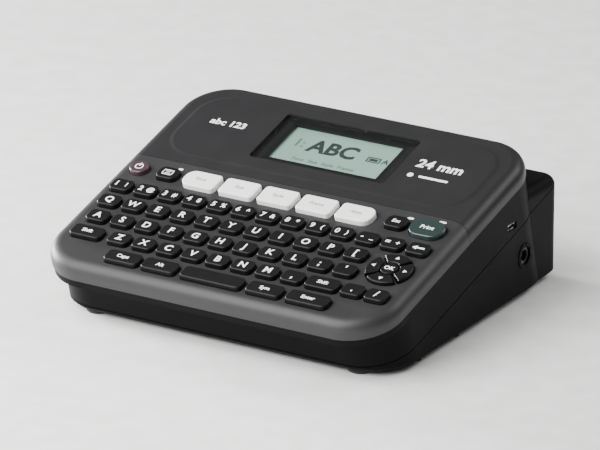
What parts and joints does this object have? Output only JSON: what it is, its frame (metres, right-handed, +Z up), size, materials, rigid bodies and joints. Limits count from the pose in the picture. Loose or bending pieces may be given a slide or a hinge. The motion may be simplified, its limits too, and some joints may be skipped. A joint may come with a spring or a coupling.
{
  "type": "label maker",
  "caption": "Desktop label maker with a sloping keyboard, a grey-green display, a thermal tape mechanism with a side cutter lever, and a battery bay underneath.",
  "frame": {"origin": "middle of the box's underside, on the surface that the feet stand on", "axes": "+X to the user's right, +Y to the back, +Z up"},
  "size_m": [0.188, 0.178, 0.072],
  "materials": {
    "charcoal_abs": "fine moulded texture",
    "display_abs": "fine moulded texture",
    "window_acrylic": "clear, polished",
    "black_abs": "moulded texture",
    "steel_pin": "ground",
    "foot_rubber": "matt",
    "screw_steel": "blackened",
    "frame_plastic": "moulded",
    "lcd_glass": "grey-green display",
    "silicone": "moulded silicone",
    "circuit_board": "solder mask",
    "socket_metal": "plated",
    "socket_plastic": "moulded",
    "cell_jacket": "printed sleeve, left plain",
    "spring_steel": "nickel plated",
    "zinc_sheet": "zinc-plated sheet",
    "motor_can": "plated",
    "brass_gear": "machined",
    "acetal": "moulded",
    "platen_rubber": "ground",
    "head_ceramic": "glazed",
    "sink_aluminium": "extruded",
    "lever_abs": "moulded texture",
    "blade_steel": "ground edge",
    "cassette_smoke": "smoked, polished",
    "label_film": "laminated film",
    "ribbon_film": "coated film",
    "key_black": "moulded, printed legends",
    "key_white": "moulded, printed legends",
    "key_green": "moulded",
    "key_plum": "moulded"
  },
  "bodies": {
    "casing": {"front_cover": "charcoal_abs", "display_cover": "display_abs", "display_window": "window_acrylic", "main_casing": "black_abs", "back_cover": "black_abs", "hinge_pin": "steel_pin", "rubber_feet": "foot_rubber", "casing_screws": "screw_steel", "lcd_holder": "frame_plastic", "lcd_panel": "lcd_glass", "key_mat": "silicone", "main_board": "circuit_board", "usb_socket": "socket_metal", "power_socket": "socket_plastic", "batteries": "cell_jacket", "battery_contacts": "spring_steel", "mechanism_frame": "zinc_sheet", "motor": "motor_can", "print_head": "head_ceramic", "heat_sink": "sink_aluminium", "cassette_case": "cassette_smoke", "cassette_lid": "cassette_smoke", "label_tape": "label_film"},
    "number_keys": {"number_keys": "key_black"},
    "upper_letter_keys": {"upper_letter_keys": "key_black"},
    "home_letter_keys": {"home_letter_keys": "key_black"},
    "lower_letter_keys": {"lower_letter_keys": "key_black"},
    "command_keys": {"command_keys": "key_black"},
    "space_key": {"space_key": "key_black"},
    "power_key": {"power_key": "key_plum"},
    "preview_key": {"preview_key": "key_black"},
    "escape_key": {"escape_key": "key_black"},
    "print_key": {"print_key": "key_green"},
    "function_key_1": {"function_key_1": "key_white"},
    "function_key_2": {"function_key_2": "key_white"},
    "function_key_3": {"function_key_3": "key_white"},
    "function_key_4": {"function_key_4": "key_white"},
    "function_key_5": {"function_key_5": "key_white"},
    "cursor_right_key": {"cursor_right_key": "key_black"},
    "cursor_up_key": {"cursor_up_key": "key_black"},
    "cursor_left_key": {"cursor_left_key": "key_black"},
    "cursor_down_key": {"cursor_down_key": "key_black"},
    "ok_key": {"ok_key": "key_black"},
    "battery_cover": {"battery_cover": "black_abs"},
    "cassette_cover": {"cassette_cover": "black_abs"},
    "motor_pinion": {"motor_pinion": "brass_gear"},
    "drive_gear": {"drive_gear": "acetal"},
    "second_gear": {"second_gear": "acetal"},
    "third_gear": {"third_gear": "acetal"},
    "ribbon_winder": {"winder_gear": "acetal", "winder_spool": "ribbon_film"},
    "roller_holder": {"roller_holder": "frame_plastic"},
    "platen": {"platen_shaft": "steel_pin", "platen_roller": "platen_rubber", "platen_gear": "acetal"},
    "label_roll": {"label_roll": "label_film"},
    "ribbon_spool": {"ribbon_spool": "ribbon_film"},
    "cutter_lever": {"cutter_lever": "lever_abs"},
    "blade": {"blade_carriage": "frame_plastic", "cutter_blade": "blade_steel"}
  },
  "joints": [
    {"name": "number_keys_press", "type": "slide", "parent": "casing", "child": "number_keys", "axis": [0, 0.2588, -0.9659], "range_m": [0, 0.0012], "stiffness_N_per_m": 1500, "springref_m": -0.0006},
    {"name": "upper_letter_keys_press", "type": "slide", "parent": "casing", "child": "upper_letter_keys", "axis": [0, 0.2588, -0.9659], "range_m": [0, 0.0012], "stiffness_N_per_m": 1500, "springref_m": -0.0006},
    {"name": "home_letter_keys_press", "type": "slide", "parent": "casing", "child": "home_letter_keys", "axis": [0, 0.2588, -0.9659], "range_m": [0, 0.0012], "stiffness_N_per_m": 1500, "springref_m": -0.0006},
    {"name": "lower_letter_keys_press", "type": "slide", "parent": "casing", "child": "lower_letter_keys", "axis": [0, 0.2588, -0.9659], "range_m": [0, 0.0012], "stiffness_N_per_m": 1500, "springref_m": -0.0006},
    {"name": "command_keys_press", "type": "slide", "parent": "casing", "child": "command_keys", "axis": [0, 0.2588, -0.9659], "range_m": [0, 0.0012], "stiffness_N_per_m": 1500, "springref_m": -0.0006},
    {"name": "space_key_press", "type": "slide", "parent": "casing", "child": "space_key", "axis": [0, 0.2588, -0.9659], "range_m": [0, 0.0012], "stiffness_N_per_m": 300, "springref_m": -0.0006},
    {"name": "power_key_press", "type": "slide", "parent": "casing", "child": "power_key", "axis": [0, 0.2588, -0.9659], "range_m": [0, 0.0012], "stiffness_N_per_m": 300, "springref_m": -0.0006},
    {"name": "preview_key_press", "type": "slide", "parent": "casing", "child": "preview_key", "axis": [0, 0.2588, -0.9659], "range_m": [0, 0.0012], "stiffness_N_per_m": 300, "springref_m": -0.0006},
    {"name": "escape_key_press", "type": "slide", "parent": "casing", "child": "escape_key", "axis": [0, 0.2588, -0.9659], "range_m": [0, 0.0012], "stiffness_N_per_m": 300, "springref_m": -0.0006},
    {"name": "print_key_press", "type": "slide", "parent": "casing", "child": "print_key", "axis": [0, 0.2588, -0.9659], "range_m": [0, 0.0012], "stiffness_N_per_m": 300, "springref_m": -0.0006},
    {"name": "function_key_1_press", "type": "slide", "parent": "casing", "child": "function_key_1", "axis": [0, 0.2588, -0.9659], "range_m": [0, 0.0012], "stiffness_N_per_m": 300, "springref_m": -0.0006},
    {"name": "function_key_2_press", "type": "slide", "parent": "casing", "child": "function_key_2", "axis": [0, 0.2588, -0.9659], "range_m": [0, 0.0012], "stiffness_N_per_m": 300, "springref_m": -0.0006},
    {"name": "function_key_3_press", "type": "slide", "parent": "casing", "child": "function_key_3", "axis": [0, 0.2588, -0.9659], "range_m": [0, 0.0012], "stiffness_N_per_m": 300, "springref_m": -0.0006},
    {"name": "function_key_4_press", "type": "slide", "parent": "casing", "child": "function_key_4", "axis": [0, 0.2588, -0.9659], "range_m": [0, 0.0012], "stiffness_N_per_m": 300, "springref_m": -0.0006},
    {"name": "function_key_5_press", "type": "slide", "parent": "casing", "child": "function_key_5", "axis": [0, 0.2588, -0.9659], "range_m": [0, 0.0012], "stiffness_N_per_m": 300, "springref_m": -0.0006},
    {"name": "cursor_right_key_press", "type": "slide", "parent": "casing", "child": "cursor_right_key", "axis": [0, 0.2588, -0.9659], "range_m": [0, 0.0012], "stiffness_N_per_m": 300, "springref_m": -0.0006},
    {"name": "cursor_up_key_press", "type": "slide", "parent": "casing", "child": "cursor_up_key", "axis": [0, 0.2588, -0.9659], "range_m": [0, 0.0012], "stiffness_N_per_m": 300, "springref_m": -0.0006},
    {"name": "cursor_left_key_press", "type": "slide", "parent": "casing", "child": "cursor_left_key", "axis": [0, 0.2588, -0.9659], "range_m": [0, 0.0012], "stiffness_N_per_m": 300, "springref_m": -0.0006},
    {"name": "cursor_down_key_press", "type": "slide", "parent": "casing", "child": "cursor_down_key", "axis": [0, 0.2588, -0.9659], "range_m": [0, 0.0012], "stiffness_N_per_m": 300, "springref_m": -0.0006},
    {"name": "ok_key_press", "type": "slide", "parent": "casing", "child": "ok_key", "axis": [0, 0.2588, -0.9659], "range_m": [0, 0.0012], "stiffness_N_per_m": 300, "springref_m": -0.0006},
    {"name": "battery_cover_slide", "type": "slide", "parent": "casing", "child": "battery_cover", "axis": [0, -1, 0], "range_m": [0, 0.012]},
    {"name": "cassette_cover_hinge", "type": "hinge", "parent": "casing", "child": "cassette_cover", "pos_m": [0, 0.001, 0.0046], "axis": [-1, 0, 0], "range_deg": [0, 95]},
    {"name": "drive_gear_spin", "type": "hinge", "parent": "casing", "child": "drive_gear", "pos_m": [-0.006, 0.021, 0.0303], "axis": [0, 0, 1], "continuous": true},
    {"name": "pinion_spin", "type": "hinge", "parent": "casing", "child": "motor_pinion", "pos_m": [0.0132, 0.021, 0.0303], "axis": [0, 0, 1], "continuous": true},
    {"name": "second_gear_spin", "type": "hinge", "parent": "casing", "child": "second_gear", "pos_m": [-0.0332, 0.021, 0.0303], "axis": [0, 0, 1], "continuous": true},
    {"name": "winder_spin", "type": "hinge", "parent": "casing", "child": "ribbon_winder", "pos_m": [-0.054, 0.021, 0.0303], "axis": [0, 0, 1], "continuous": true},
    {"name": "third_gear_spin", "type": "hinge", "parent": "casing", "child": "third_gear", "pos_m": [-0.06104, 0.04142, 0.0303], "axis": [0, 0, 1], "continuous": true},
    {"name": "roller_release", "type": "hinge", "parent": "casing", "child": "roller_holder", "pos_m": [-0.05862, 0.06692, 0.006], "axis": [0, 0, -1], "range_deg": [0, 8], "stiffness_Nm_per_rad": 0.02, "springref_deg": -11.46},
    {"name": "platen_spin", "type": "hinge", "parent": "roller_holder", "child": "platen", "pos_m": [-0.072, 0.05815, 0.0303], "axis": [0, 0, 1], "continuous": true},
    {"name": "label_roll_spin", "type": "hinge", "parent": "casing", "child": "label_roll", "pos_m": [-0.019, 0.0325, 0.006], "axis": [0, 0, 1], "continuous": true},
    {"name": "ribbon_spool_spin", "type": "hinge", "parent": "casing", "child": "ribbon_spool", "pos_m": [-0.05, 0.0435, 0.006], "axis": [0, 0, 1], "continuous": true},
    {"name": "cutter_lever_press", "type": "hinge", "parent": "casing", "child": "cutter_lever", "pos_m": [-0.088, 0.046, 0.009], "axis": [0, 0, 1], "range_deg": [0, 17], "stiffness_Nm_per_rad": 0.03, "springref_deg": -17.19},
    {"name": "blade_slide", "type": "slide", "parent": "casing", "child": "blade", "axis": [0, 1, 0], "range_m": [0, 0.0027]}
  ],
  "couplings": [
    {"joint": "pinion_spin", "follows": "drive_gear_spin", "ratio": -3},
    {"joint": "second_gear_spin", "follows": "drive_gear_spin", "ratio": -1.125},
    {"joint": "winder_spin", "follows": "drive_gear_spin", "ratio": 1.8},
    {"joint": "third_gear_spin", "follows": "drive_gear_spin", "ratio": -1.0588},
    {"joint": "platen_spin", "follows": "drive_gear_spin", "ratio": 2.25},
    {"joint": "label_roll_spin", "follows": "drive_gear_spin", "ratio": -0.66177},
    {"joint": "ribbon_spool_spin", "follows": "drive_gear_spin", "ratio": -1.4062},
    {"joint": "blade_slide", "follows": "cutter_lever_press", "m_per_rad": 0.009}
  ]
}
